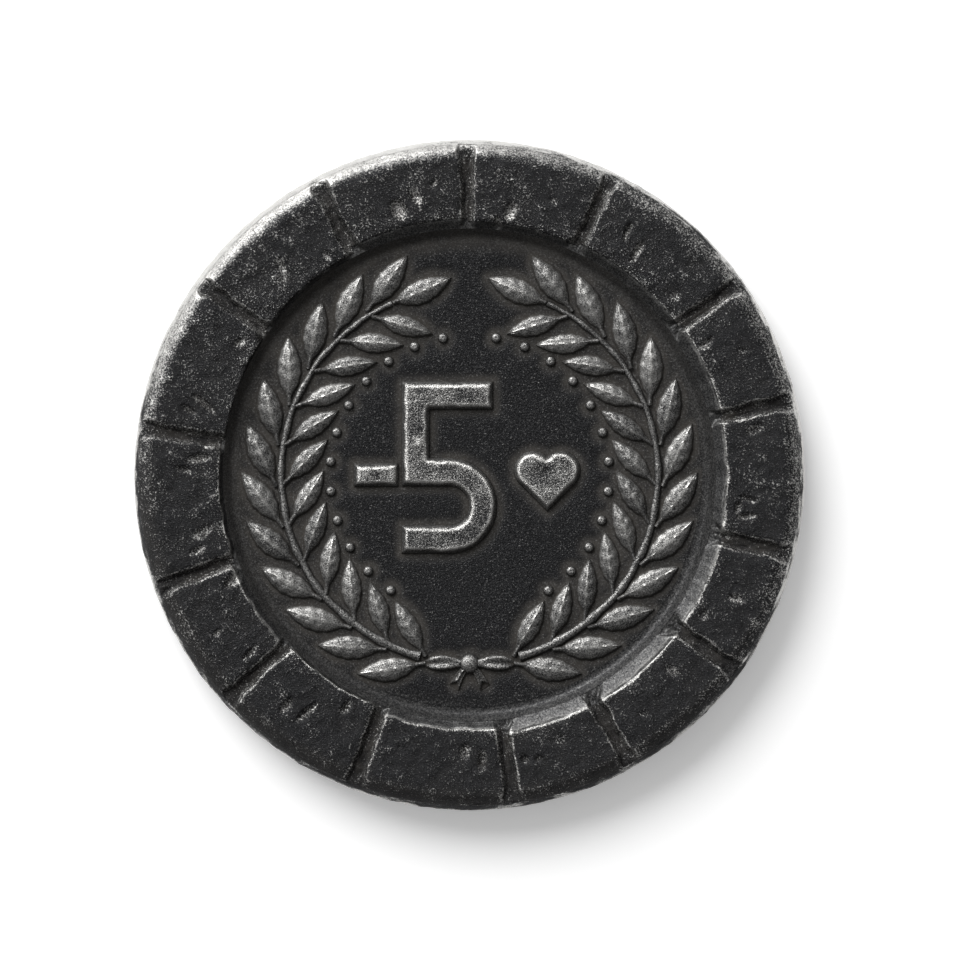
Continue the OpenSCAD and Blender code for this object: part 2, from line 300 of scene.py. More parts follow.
# Gouges by stone: degrees round the ring, distance out, turn against the ray, length, width, depth
GOUGES = {
    1: [(29, 14.1, 8, 1, 0.3, 0.12), (24.5, 15.6, -30, 0.5, 0.22, 0.06)],
    2: [(53, 14.5, 5, 1.25, 0.3, 0.15), (57, 15.1, 12, 1.1, 0.26, 0.14), (41, 14.2, -10, 0.6, 0.4, 0.08)],
    3: [(81, 13.9, -8, 1.1, 0.5, 0.14), (83.5, 13.2, 12, 0.7, 0.3, 0.16), (73, 14.9, 30, 0.5, 0.3, 0.05)],
    4: [(101, 14.8, 20, 1, 0.42, 0.13), (105, 14.3, 8, 1.1, 0.62, 0.19), (97, 15.3, -30, 0.6, 0.25, 0.07)],
    5: [(132, 14.6, -14, 1.1, 0.34, 0.12), (133.5, 14.1, 30, 0.6, 0.4, 0.1), (123, 13.6, 0, 0.7, 0.34, 0.06)],
    6: [(165, 14.3, -24, 1.5, 0.3, 0.15), (167, 15, -16, 0.9, 0.26, 0.13), (150, 13.8, 60, 0.7, 0.3, 0.08)],
    7: [(176.5, 14.1, 10, 1.3, 0.36, 0.15), (179, 14.9, -14, 0.9, 0.3, 0.12), (192, 14.2, 24, 1.2, 0.5, 0.1),
        (195.5, 14.7, 8, 1, 0.3, 0.1)],
    8: [(204, 13.5, 20, 1.1, 0.5, 0.14), (212, 15.5, 0, 0.5, 0.26, 0.1), (219, 14.7, 6, 1.2, 0.28, 0.1)],
    9: [(231.5, 15.3, 0, 1, 0.34, 0.17), (235.5, 15, -16, 1.5, 0.3, 0.15), (242, 13.7, -10, 0.9, 0.36, 0.1)],
    10: [(255.5, 14.6, 22, 1, 0.07, 0.06), (269, 14.4, -12, 0.9, 0.36, 0.12),
         (272.5, 14.9, -8, 1.2, 0.42, 0.14)],
    11: [(281, 15.1, 20, 0.5, 0.34, 0.12), (283.5, 15.2, -20, 0.35, 0.26, 0.1),
         (289, 14.6, 40, 0.8, 0.5, 0.05)],
    12: [(316, 14.7, 6, 0.9, 0.4, 0.08), (306, 15.4, 50, 0.7, 0.3, 0.05)],
    13: [(335, 15.3, 12, 0.9, 0.36, 0.09), (329, 14.2, -20, 0.6, 0.4, 0.06)],
    14: [(351.5, 14.6, 10, 1.1, 0.26, 0.13), (355, 14.6, -12, 1, 0.24, 0.12),
         (353.2, 14.1, 80, 0.7, 0.3, 0.12), (369, 15.05, 10, 1, 0.42, 0.08)],
}
# How much longer, wider and deeper they are cut
GOUGE_SCALE = (1.1, 1.4, 1.35)
# How much of each stone's two inner corners is worn away: at its start and at its end
CORNERS = {
    1: (0.1, 0.1), 2: (0.25, 0.12), 3: (0.5, 0.2), 4: (0.12, 0.25), 5: (0.35, 0.3),
    6: (0.75, 0.35), 7: (0.6, 0.45), 8: (0.4, 0.15), 9: (0.35, 0.4), 10: (0.2, 0.3),
    11: (0.15, 0.12), 12: (0.12, 0.3), 13: (0.12, 0.12), 14: (0.4, 0.1),
}


def edge_rub(turn):
    """How much the token's edge is rubbed in each direction from the middle, together with its painted
    highlight.
    """
    return sum(most * ramp(np.cos(turn - side), fade, 1) for side, most, fade in RUBBED_AND_LIT_SIDES)


def painted_shine(rub):
    """A painted highlight on the stretch of the edge towards the lamp, beyond its rubbing."""
    return (rub / MOST_RUB_AND_HIGHLIGHT) ** 3


def stone_edges():
    """The middles of the joints before and after each stone, in degrees."""
    half = math.degrees(math.asin(JOINT_W / 2 / FLOOR_END_R))
    edges = []
    for name in STONES:
        corners = points(name)
        radius, angle = polar(corners)
        outer = (radius > FLOOR_END_R - HAIR * 5) & (corners[:, 2] < JOINT_Z + HAIR)
        middle = math.atan2(corners[:, 1].mean(), corners[:, 0].mean()) * 180 / math.pi % 360
        turn = (angle[outer] - middle + 180) % 360 - 180
        edges.append((middle + turn.min() - half, middle + turn.max() + half))
    return edges


def shoulder_height(radius):
    """Height of the rounded shoulder at this distance from the middle, for the front face."""
    rise = TOKEN_T - SHOULDER_LOW_Z
    run = SHOULDER_R - FACE_R
    arc_r = math.hypot(rise, run) / (2 * math.sin(SHOULDER_TURN / 2))
    start = math.atan2(rise, run) - SHOULDER_TURN / 2
    axis_r = FACE_R - arc_r * math.sin(start)
    axis_z = TOKEN_T - arc_r * math.cos(start)
    inside = np.clip(arc_r ** 2 - np.maximum(radius - axis_r, 0) ** 2, 0, None)
    return axis_z + np.sqrt(inside)


def stone_grid(index, edges, seed):
    """The fine grid of one worn stone of the front face, with all that its shape and its marks depend on."""
    at = SimpleNamespace(index=index, seed=seed)
    corners = points(STONES[index])
    radius, _ = polar(corners)
    # How far out the inner wall meets the face
    at.arris_r = radius[corners[:, 2] > TOKEN_T - HAIR].min()
    start, end = (math.radians(edge) for edge in edges)
    lay_grid(at, start, end)
    measure(at, start, end)
    raise_grid(at)
    name_places(at)
    return at


def lay_grid(at, start, end):
    """How far out each point lies, in which direction, and where in the plane."""
    span = (end - start) * RING_R
    across = edge_spread(span, JOINT_W / 2 + JOINT_LEAN, STONE_PITCH) / span
    wall_run = max(at.arris_r - FOOT_R, JOINT_LEAN)
    out = FOOT_R + edge_spread(STONE_END_R - FOOT_R, wall_run * 0.8, STONE_PITCH)
    at.out = out[:, None] + 0 * across[None, :]
    at.angle = start + across * (end - start) + 0 * at.out
    at.flat = np.stack([at.out * np.cos(at.angle), at.out * np.sin(at.angle)], axis=-1)
    at.around = np.stack([at.angle * RING_R, 0 * at.angle], axis=-1)


def measure(at, start, end):
    """Ragged distances from both joints' middles and from the inner wall's foot and arris."""
    out, angle, seed = at.out, at.angle, at.seed
    along = np.stack([out, 0 * out], axis=-1)
    flare = JOINT_FLARE * ramp(out, FLOOR_END_R - FLARE_RUN, FLOOR_END_R)
    rags = [JOINT_RAG * rough(along, RAG_PITCH, seed + k, 4) for k in (1, 2)]
    at.from_start = out * np.sin(angle - start) + rags[0] - flare
    at.from_end = out * np.sin(end - angle) + rags[1] - flare
    at.from_foot = out - FOOT_R + FOOT_RAG * rough(at.around, RAG_PITCH, seed + 3, 4) - 0.02
    at.from_arris = at.from_foot - (at.arris_r - FOOT_R)
    at.beside_joint = np.minimum(at.from_start, at.from_end) - JOINT_W / 2
    at.inside = np.minimum(at.beside_joint - JOINT_LEAN, at.from_arris)


def stone_surfaces(at):
    """The heights of all surfaces that bound the stone from above."""
    depth = TOKEN_T - JOINT_Z
    edges = (at.from_start, at.from_end)
    side_walls = [JOINT_Z + (edge - JOINT_W / 2) / JOINT_LEAN * depth for edge in edges]
    inner_wall = JOINT_Z + at.from_foot / max(at.arris_r - FOOT_R, 0.06) * depth
    # The two inner corners are cut off by leaning planes
    cut_corners = [
        TOKEN_T + (edge - JOINT_W / 2 + at.out - at.arris_r - cut) * CORNER_SLOPE
        for edge, cut in zip(edges, CORNERS[at.index + 1])
    ]
    waves = 0.03 * rough(at.flat, 1.3, at.seed + 4) + 0.022 * at.bumps
    slump = ARRIS_SLUMP * np.exp(-np.maximum(at.inside, 0) / ARRIS_RUN)
    face = TOKEN_T - FACE_DROP + np.minimum(waves, WAVE_MOST) - slump
    shoulder_r = at.out + 0.035 * rough(at.around, 1.1, at.seed + 6)
    shoulder = np.minimum(shoulder_height(shoulder_r) - 0.008, shoulder_height(at.out))
    # Over the face the shoulder keeps clear of it
    shoulder += np.maximum(FACE_R - 0.1 - at.out, 0)
    return [*side_walls, inner_wall, *cut_corners, face, shoulder]


def stone_gouges(at):
    """How deep the scooped gouges are at each point."""
    ragged = 0.05 * rough(at.flat, 0.3, at.seed + 7)
    dug = np.zeros_like(at.out)
    for turned, at_r, lean, *size in GOUGES[at.index + 1]:
        away = at.angle - math.radians(turned)
        aside = at.out * np.sin(away) + ragged
        beyond = at.out * np.cos(away) - at_r
        lean = math.radians(lean)
        across = aside * math.cos(lean) - beyond * math.sin(lean)
        along = aside * math.sin(lean) + beyond * math.cos(lean)
        length, width, depth = (part * scale for part, scale in zip(size, GOUGE_SCALE))
        share = (2 * across / width) ** 2 + (2 * along / length) ** 2
        dug += depth * np.clip(1 - share, 0, None)
    return dug


def raise_grid(at):
    """Each point is as high as the lowest of the surfaces there, less what is gouged out."""
    at.bumps = rough(at.flat, 0.42, at.seed + 5, 2)
    height, at.near_arris = soft_least(stone_surfaces(at), STONE_ROUND)
    at.dug = stone_gouges(at)
    # The walls run out softly into the joints' floors, which are streaked along the ray
    ray = np.stack([at.angle % math.tau * RING_R, at.out / 4], axis=-1)
    at.streaks = 0.035 * rough(ray, 0.2, 61, 2) + 0.03 * rough(at.flat, 0.25, 62)
    floor = np.minimum(JOINT_Z, shoulder_height(at.out)) - FLOOR_DROP
    floor = floor + at.streaks * ramp(at.out, FOOT_R, FOOT_R + 0.3)
    at.height = floor + FOOT_ROUND * np.logaddexp(0, (height - at.dug - floor) / FOOT_ROUND)


def name_places(at):
    """Where the inner wall, the shoulder, the joints and low places are, and how rubbed the edge is, with its
    painted highlight.
    """
    at.on_wall = ramp(at.arris_r - at.out, -0.06, 0.06)
    at.on_shoulder = ramp(at.out, FACE_R - 0.3, FACE_R + 0.25)
    at.in_joint = 1 - ramp(at.beside_joint, -0.05, 0.1)
    at.in_joint *= 1 - ramp(at.out, FACE_R + 0.3, FACE_R + 0.6)
    low = 1 - ramp(at.height, JOINT_Z + 0.03, JOINT_Z + 0.45)
    at.low_place = low * (1 - at.on_wall) * (1 - at.on_shoulder)
    # The edge's rubbing with its painted highlight, less in the joints
    at.rub = edge_rub(at.angle) * (1 - 0.85 * at.in_joint)


def arris_wear_and_highlight(at):
    """How much the arrises are rubbed, in patches, with painted shade on the lamp's side and painted
    highlight elsewhere.
    """
    on_face = 1 - at.on_shoulder
    # Painted shade and highlight: arrises towards the lamp's side are kept dark, the rest rubbed bright
    arris_shade_by_side = ramp(np.cos(at.angle - RUBBED_LAMP_SIDE + 0.2), 0.1, 0.75)
    patches = np.clip(0.75 + 0.6 * rough(at.flat, 1.1, at.seed + 8, 2), 0.15, 1)
    patches *= 1 - 0.85 * arris_shade_by_side
    edges = (0.26 + 0.14 * at.on_wall) * (1 - 0.7 * at.on_shoulder) * np.maximum(patches, 0.3)
    edges *= at.near_arris ** 3
    beside = 0.11 * bell(at.inside, ARRIS_RUBBED) * on_face * patches
    inner = 0.2 * bell(at.from_arris, ARRIS_RUBBED) * (1 - arris_shade_by_side) * (1 - at.in_joint)
    return edges + beside + inner


def wall_wear_and_highlight(at):
    """How much the walls are rubbed: the inner one towards its top, with a painted highlight on the inner
    walls that face the lamp.
    """
    # Painted highlight: inner walls across from the lamp's side, which face it, are made brighter
    across = 0.35 + 0.65 * ramp(-np.cos(at.angle - RUBBED_LAMP_SIDE), 0.6, 0.95)
    inner = at.on_wall * (0.05 + 0.2 * ramp(at.height, JOINT_Z + 0.1, TOKEN_T) ** 1.5) * across
    beside = at.beside_joint
    sides = 0.1 * ramp(beside, -0.05, 0.05) * (1 - ramp(beside, JOINT_LEAN, JOINT_LEAN + 0.1))
    return inner + sides


def shoulder_wear_and_highlight(at):
    """How much the shoulder is rubbed: more and more on its way outward, and painted bright towards the lamp
    as a highlight.
    """
    out, rub = at.out, at.rub
    outward = ramp(out, FACE_R + 0.25, SHOULDER_R)
    over_edge = ramp(out, FACE_R - 0.1, FACE_R + 0.4) + 0.45 * ramp(out, FACE_R + 0.1, FACE_R + 0.45)
    # Painted highlight on the outer shoulder towards the lamp, with a little rubbing all round further in
    polish_and_highlight = 0.26 * painted_shine(rub) * outward + 0.055 * at.on_shoulder * (1 - outward)
    return rub * (0.1 + over_edge) + polish_and_highlight


def face_wear_and_lit_side(at):
    """How much the face is rubbed: on its bumps, in blotches, in its gouges and towards its inner end, and a
    little lighter towards the lamp as painted light.
    """
    off_wall = 1 - at.on_wall
    bumps = 0.1 * np.clip(at.bumps, 0, 0.8) * off_wall
    blotches = np.clip(rough(at.flat, 0.9, at.seed + 9, 2), -0.3, 1)
    blotches *= 0.045 * off_wall * (1 - at.on_shoulder)
    inner_end = 0.04 * ramp(at.arris_r + 1.2 - at.out, 0, 1.2)
    # Painted light: the faces are a little lighter towards the lamp
    rubbed_side = 0.02 * np.cos(at.angle - RUBBED_LAMP_SIDE)
    hollows = 0.13 * ramp(at.dug, 0, 0.03) + 0.04 * at.low_place
    return bumps + blotches + hollows + inner_end + rubbed_side


def stone(index, edges, face):
    """One worn stone: sandy, but smooth on its inner wall and rubbed shoulder, with dust in the joints; its
    marks also hold painted highlight and painted shade by direction.
    """
    at = stone_grid(index, edges, 100 * index + (5000 if face == "back" else 0))
    top = np.concatenate([at.flat, at.height[..., None]], axis=-1)
    vertices, polygons = grid_solid(top, SHOULDER_LOW_Z)
    wear = arris_wear_and_highlight(at) + wall_wear_and_highlight(at) + shoulder_wear_and_highlight(at) + face_wear_and_lit_side(at)
    smooth = 0.1 * at.low_place + 0.95 * at.on_wall + 3.5 * at.rub * at.on_shoulder
    # Dust in the joints; on the shoulder away from the lamp it is painted shade
    dust = at.low_place * (0.55 + 5 * at.streaks) + (0.3 - 4 * at.rub) * at.on_shoulder
    make_piece(
        STONES[index].replace("front", face), vertices, polygons, "stone_metal",
        wear=for_grid(np.clip(wear, 0, 1)), grain=for_grid(np.clip(1 - smooth, 0.05, 1)),
        dust=for_grid(np.clip(dust, 0, 1)),
    )


# The disc

FIELD_CELLS = 128
# Heights on the edge band, as shares of its way down to the parting line, and how much it bows out
BAND_SHARES = (0.06, 0.3, 0.6, 0.85, 0.93)
BAND_BOW = 0.8
# The noise of the band is denser along the token's axis
BAND_STRETCH = (1, 1, 1.4)
# Shares of the cove's width: where it turns up, and over what run
COVE_LEVEL = 0.48
COVE_TURN = 0.15
COVE_STEPS = 12
# Below the stones the disc keeps clear of their undersides
HIDDEN_Z = JOINT_Z - 0.18
RELIEF = (*FEATURES, "berries", "tie", *(
    f"{side}_{part}" for side in SIDES for part in ("stem", "outer_leaves", "inner_leaves")
))


def round_grid(cells, radius):
    """Points of a square grid pressed into a circle, its squares, and the order of its outermost points."""
    line = np.linspace(-1, 1, cells + 1)
    across, up = np.meshgrid(line, line)
    wide = abs(across) > abs(up)
    with np.errstate(divide="ignore", invalid="ignore"):
        turn = np.where(wide, up / across * math.pi / 4, math.pi / 2 - across / up * math.pi / 4)
    reach = np.where(wide, across, up)
    turn = np.nan_to_num(turn)
    flat = np.stack([reach * np.cos(turn), reach * np.sin(turn)], axis=-1) * radius
    index = np.arange((cells + 1) ** 2).reshape(cells + 1, cells + 1)
    quads = np.stack([index[:-1, :-1], index[:-1, 1:], index[1:, 1:], index[1:, :-1]], axis=-1)
    rim = np.concatenate([index[0, :-1], index[:-1, -1], index[-1, :0:-1], index[:0:-1, 0]])
    return flat.reshape(-1, 2), quads.reshape(-1, 4), rim


def cove_rise(share):
    """Share of the cove's height at these shares of its width: nearly level at first, then one slope."""
    low, high, here = (np.hypot(at - COVE_LEVEL, COVE_TURN) + at for at in (0, 1, share))
    return (here - low) / (high - low)


def disc_section():
    """The disc's upper half from the field out to the parting line, as distances out and heights."""
    steps = np.linspace(0, 1, COVE_STEPS + 1)[1:]
    cove = zip(FIELD_R + (FOOT_R - FIELD_R) * steps, FIELD_Z + (JOINT_Z - FIELD_Z) * cove_rise(steps))
    hidden = [(FOOT_R + HAIR, HIDDEN_Z), (FLOOR_END_R - 0.1, HIDDEN_Z)]
    hidden.append((STONE_END_R - 0.06, shoulder_height(STONE_END_R) - 0.02))
    shoulder_rs = np.linspace(STONE_END_R - 0.02, SHOULDER_R, 4)
    shoulder = zip(shoulder_rs, shoulder_height(shoulder_rs))
    band = [
        (SHOULDER_R + (TOKEN_R - SHOULDER_R) * share ** BAND_BOW,
         SHOULDER_LOW_Z + (TOKEN_T / 2 - SHOULDER_LOW_Z) * share)
        for share in BAND_SHARES
    ]
    return [*cove, *hidden, *shoulder, *band, (TOKEN_R, TOKEN_T / 2)]


def relief_distance(flat):
    """How far each of these places lies from the foot of the nearest raised shape."""
    feet = np.concatenate([
        resampled(loop, 0.08) for name in RELIEF for loop in outlines(f"front_{name}", FIELD_Z)
    ])
    tree = KDTree(len(feet))
    for k, foot in enumerate(feet):
        tree.insert((*foot, 0), k)
    tree.balance()
    return np.array([tree.find((*place, 0))[2] for place in flat])


def field(flat, dust_and_fill, seed):
    """The field's points, which dip towards the relief, and their marks in columns: wear with painted
    highlight, grain, and dust with painted light.
    """
    near = relief_distance(flat)
    from_cove = FIELD_R - np.hypot(*flat.T)
    swell = 0.012 * rough(flat, 2.2, seed) - 0.03 * bell(near, 0.45)
    swell *= ramp(from_cove, 0, 0.5)
    # Bare metal right at the relief's feet is a painted highlight
    wear = 0.02 + 0.1 * bell(near, 0.22)
    grain = 0.25 + 0.25 * ramp(near, 0.15, 0.5) * ramp(from_cove, 0.1, 0.9)
    # Dust near the relief's feet, and the cove's dust, which paints fill light into its shade
    dust = np.maximum(0.9 * (1 - ramp(near, 0.05, 0.55)), dust_and_fill * (1 - ramp(from_cove, 0, 0.7)))
    return np.column_stack([flat, FIELD_Z + np.minimum(swell, 0)]), np.column_stack([wear, grain, dust])


def edge_wear_and_highlight(lie):
    """How much the edge is rubbed at these places, along the parting line and in spots, with a painted
    highlight by direction.
    """
    rub = edge_rub(np.arctan2(lie[:, 1], lie[:, 0]))
    parting_line = 1 - ramp(abs(lie[:, 2] - TOKEN_T / 2), 0.1, 0.6)
    spots = rough(lie * BAND_STRETCH, 0.8, 906)
    return 0.03 + 1.9 * rub + 0.25 * painted_shine(rub) + 0.38 * parting_line + 0.3 * spots


def half_disc(seed, face):
    """The disc's front half, open along the parting line, with its marks in columns: wear with painted
    highlight, grain, and dust with painted light.
    """
    flat, quads, rim = round_grid(FIELD_CELLS, FIELD_R)
    # Dust lies in the cove, thickest on the lamp's side, where it paints fill light into the cove's shade
    dust_and_fill = 0.36 + 0.36 * np.cos(np.arctan2(flat[:, 1], flat[:, 0]) - RUBBED_LAMP_SIDE)
    places, marks = field(flat, dust_and_fill, seed)
    parts, marks, loops = [places], [marks], [rim]
    turn = np.arctan2(flat[rim][:, 1], flat[rim][:, 0])
    count = len(rim)
    for radius, height in disc_section():
        ring = np.column_stack([np.cos(turn) * radius, np.sin(turn) * radius, np.full(count, height)])
        if radius < FLOOR_END_R:
            up_cove = ramp(radius, FIELD_R + 0.3 * (FOOT_R - FIELD_R), FOOT_R)
            mark = np.column_stack([np.full(count, 0.06 * up_cove ** 1.5), np.full(count, 0.05), dust_and_fill[rim]])
        else:
            # Both halves take the edge's wear, painted highlight and nicks from where it lies, so they meet
            # without a break
            lie = turned_over(ring) if face == "back" else ring
            nick = 0.045 if radius > SHOULDER_R else 0.02
            ring[:, :2] *= 1 - nick * abs(rough(lie * BAND_STRETCH, 0.7, 903))[:, None] / radius
            mark = np.column_stack([edge_wear_and_highlight(lie), np.full(count, 0.75), np.zeros(count)])
        loops.append(sum(len(part) for part in parts) + np.arange(count))
        parts.append(ring)
        marks.append(mark)
    polygons = quads.tolist()
    for inner, outer in zip(loops[:-1], loops[1:]):
        polygons += np.stack([inner, outer, np.roll(outer, -1), np.roll(inner, -1)], axis=-1).tolist()
    return np.concatenate(parts), polygons, np.clip(np.concatenate(marks), 0, 1)


def disc():
    """The token's body: the front half and the turned back half, welded along the parting line."""
    heap = Heap()
    for seed, face in ((900, "front"), (950, "back")):
        vertices, polygons, marks = half_disc(seed, face)
        if face == "back":
            vertices = turned_over(vertices)
        heap.add(vertices, polygons, wear=marks[:, 0], grain=marks[:, 1], dust=marks[:, 2])
    piece = heap.make("disc", "field_metal")
    shape = bmesh.new()
    shape.from_mesh(piece.data)
    bmesh.ops.remove_doubles(shape, verts=shape.verts, dist=HAIR * MM / 10)
    shape.to_mesh(piece.data)
    shape.free()


# The numeral, the minus bar and the heart

FIGURE_BEVEL = 0.38
FIGURE_PITCH = 0.075
FIGURE_ROUND = 0.02


def distance_from(loop, flat):
    """How far each place lies from a closed outline."""
    a, b = loop, np.roll(loop, -1, axis=0)
    along = b - a
    share = ((flat[:, None] - a) * along).sum(-1) / np.maximum((along ** 2).sum(-1), HAIR ** 2)
    nearest = a + np.clip(share, 0, 1)[..., None] * along
    return np.hypot(*np.moveaxis(flat[:, None] - nearest, -1, 0)).min(axis=1)


def is_inside(loop, flat):
    """Whether each place lies inside a closed outline."""
    a, b = loop, np.roll(loop, -1, axis=0)
    spans = (a[:, 1] > flat[:, None, 1]) != (b[:, 1] > flat[:, None, 1])
    with np.errstate(divide="ignore", invalid="ignore"):
        cross_x = a[:, 0] + (flat[:, None, 1] - a[:, 1]) * (b - a)[:, 0] / (b - a)[:, 1]
    return (spans & (flat[:, None, 0] < cross_x)).sum(axis=1) % 2 == 1


def filled(loop, pitch):
    """Places inside a closed outline, a pitch apart in staggered rows, and triangles between all of them."""
    low, high = loop.min(0), loop.max(0)
    xs, ys = (np.arange(low[k], high[k], pitch) for k in (0, 1))
    lattice = np.stack(np.meshgrid(xs, ys), axis=-1)
    lattice[1::2, :, 0] += pitch / 2
    lattice = lattice.reshape(-1, 2)
    lattice = lattice[is_inside(loop, lattice)]
    lattice = lattice[distance_from(loop, lattice) > pitch * 0.5]
    places = [Vector(place) for place in np.concatenate([loop, lattice])]
    edges = [(k, (k + 1) % len(loop)) for k in range(len(loop))]
    flat, _, triangles, *_ = delaunay_2d_cdt(places, edges, [], 1, 1e-6)
    return np.array([tuple(place) for place in flat]), [list(triangle) for triangle in triangles]


def outward_rim(triangles):
    """The corners along a triangulated shape's outer edge, anticlockwise."""
    sides = {(a, b) for t in triangles for a, b in zip(t, (*t[1:], t[0]))}
    after = {a: b for a, b in sides if (b, a) not in sides}
    rim = [next(iter(after))]
    while after[rim[-1]] != rim[0]:
        rim.append(after[rim[-1]])
    return np.array(rim)


def figure(name, face):
    """A raised figure over its CAD node's outline: leaning, rounded sides and a worn, nearly flat top."""
    node = f"front_{name}"
    seed = sum(map(ord, name)) + (40 if face == "back" else 0)
    rise = box(node)[1][2] - FIELD_Z
    loop = resampled(outlines(node, FIELD_Z)[0], FIGURE_PITCH)
    flat, triangles = filled(loop, FIGURE_PITCH)
    away = distance_from(loop, flat)
    worn = away + 0.035 * rough(flat, 0.5, seed) * ramp(away, 0, 0.1)
    side = rise * 1.02 * (1 - np.clip(1 - worn / FIGURE_BEVEL, 0, 1) ** 2)
    level = rise - 0.045 + 0.03 * rough(flat, 0.9, seed + 1)
    height, near_arris = soft_least([side, level], FIGURE_ROUND)
    height = np.clip(height, 0, rise)
    rim = outward_rim(triangles)
    vertices = np.column_stack([flat, FIELD_Z + height])
    vertices, polygons = closed_below(rim, triangles, vertices, SUNK_Z)
    skirt = np.zeros(len(rim))
    wear = 0.31 + 0.6 * near_arris ** 2 + 0.17 * (1 - ramp(away, 0.22, 0.45))
    wear += 0.08 * rough(flat, 0.8, seed + 2) - 0.5 * (1 - ramp(height / rise, 0.05, 0.3))
    make_piece(
        f"{face}_{name}", vertices, polygons, "relief_metal",
        wear=np.concatenate([np.clip(wear, 0, 1), skirt]),
        grain=np.concatenate([0.2 + 0.42 * ramp(height / rise, 0.2, 0.8), skirt]),
        dust=np.concatenate([1 - ramp(height / rise, 0, 0.4), skirt]),
    )


# The laurel wreath

# Points along and across a leaf, loop or tail, and a stem
STRIP_POINTS = (34, 15)
STEM_POINTS = (150, 11)
PETIOLE_W = 0.24
# The bow's knot, loops and tails, and how far the tails turn from straight down
KNOT_W = 1.1
LOOP_W = 0.85
TAIL_W = 0.65
TAIL_L = 1.5
TAIL_TURN = 35


def relief_marks(wear, raised, sand):
    """The marks of a raised grid, which is smooth and dusty at its foot."""
    marks = {"wear": np.clip(wear, 0, 1), "grain": 0.2 + sand * raised, "dust": 1 - raised}
    return {mark: for_grid(values) for mark, values in marks.items()}


def leaf_axis(loop):
    """A leaf's foot and tip, which are the ends of its outline: the foot is the one nearer the stem."""
    spread = np.hypot(*np.moveaxis(loop[:, None] - loop[None], -1, 0))
    ends = loop[list(np.unravel_index(spread.argmax(), spread.shape))]
    from_stem = abs(np.hypot(*ends.T) - STEM_R)
    return ends[np.argsort(from_stem)]


def strip(foot, tip, bow, half_width, profile, reach_back=0):
    """A raised shape along the line from its foot to its tip, as a closed solid over the field.

    Its half width depends on the share of its length, and its profile gives the height at that share and at
    the share of the half width, from -1 to 1. Its bow to one side is part of a sine: how high and how long.
    Both shares and the height are returned as well."""
    rows, columns = STRIP_POINTS
    length = math.dist(foot, tip)
    shares = -reach_back / length + (1 + reach_back / length) * np.linspace(0, 1, rows) ** 0.95
    along = (tip - foot) / length
    aside = np.array([-along[1], along[0]])
    # From left to right, closer together towards the edges
    sides = (np.sin(np.linspace(-1, 1, columns) * math.pi / 2 * 0.98) / math.sin(math.pi / 2 * 0.98))[::-1]
    u, v = np.meshgrid(shares, sides, indexing="ij")
    high, long = bow
    sideways = high * np.sin(long * np.clip(u, 0, 1)) + v * half_width(u)
    flat = foot + (u * length)[..., None] * along + sideways[..., None] * aside
    height = profile(u, v)
    top = np.concatenate([flat, (FIELD_Z + height)[..., None]], axis=-1)
    return (u, v, height, *grid_solid(top, SUNK_Z))


def leaf(heap, loop, seed):
    """One laurel leaf on its petiole: rounded sides that meet in a keel, side veins and a wavy edge."""
    foot, tip = leaf_axis(loop)
    along = (tip - foot) / math.dist(foot, tip)
    aside = np.array([-along[1], along[0]])
    half = abs((loop - foot) @ aside).max()
    draw = np.random.default_rng(seed)
    lean = draw.uniform(-0.05, 0.05)
    wave = draw.uniform(0, math.tau)
    tone = draw.uniform(-0.06, 0.06)
    reach_back = max(abs(math.hypot(*foot) - STEM_R), 0.1)

    def half_width(u):
        blade = half * np.sin(math.pi * np.clip(u, 0, 1) ** 0.9) ** 0.85
        blade *= 1 + 0.035 * np.sin(u * 34 + wave)
        return np.maximum(blade, PETIOLE_W / 2 * (1 - ramp(u, 0.1, 0.5)) + 0.012)

    def profile(u, v):
        swell = np.sin(math.pi * np.clip(u * 0.97 + 0.015, 0, 1)) ** 0.5
        body = 0.8 * (1 - abs(v) ** 3.2) + 0.2 * (1 - abs(v))
        veins = np.sin(u * 30 - abs(v) * 6 + wave) * np.sqrt(abs(v)) * (1 - abs(v)) * 2.5
        groove = 0.2 * bell(abs(v) - 0.16, 0.09)
        blade = RELIEF_RISE * 0.97 * swell * (body - groove + 0.05 * veins)
        petiole = 0.2 * np.sqrt(np.clip(1 - v * v, 0, 1)) * (1 - ramp(u, 0.05, 0.25))
        return np.clip(np.maximum(blade, petiole), 0, RELIEF_RISE) * (abs(v) < 0.999)

    bow = (lean, math.pi)
    u, v, height, vertices, polygons = strip(foot, tip, bow, half_width, profile, reach_back)
    raised = ramp(height, 0.06, 0.26)
    keel = 0.2 * bell(v, 0.12) * ramp(u, 0, 0.3)
    rounding = 0.2 * bell(abs(v) - 0.8, 0.14)
    wear = 0.39 + tone + keel + rounding - 0.35 * (1 - raised) + 0.12 * ramp(u, 0.7, 1)
    heap.add(vertices, polygons, **relief_marks(wear, raised, 0.2))


def leaves(part, face):
    heap = Heap()
    for k, loop in enumerate(outlines(f"front_{part}", FIELD_Z)):
        leaf(heap, loop, 31 * k + len(part) + (7 if face == "back" else 0))
    heap.make(f"{face}_{part}", "relief_metal")


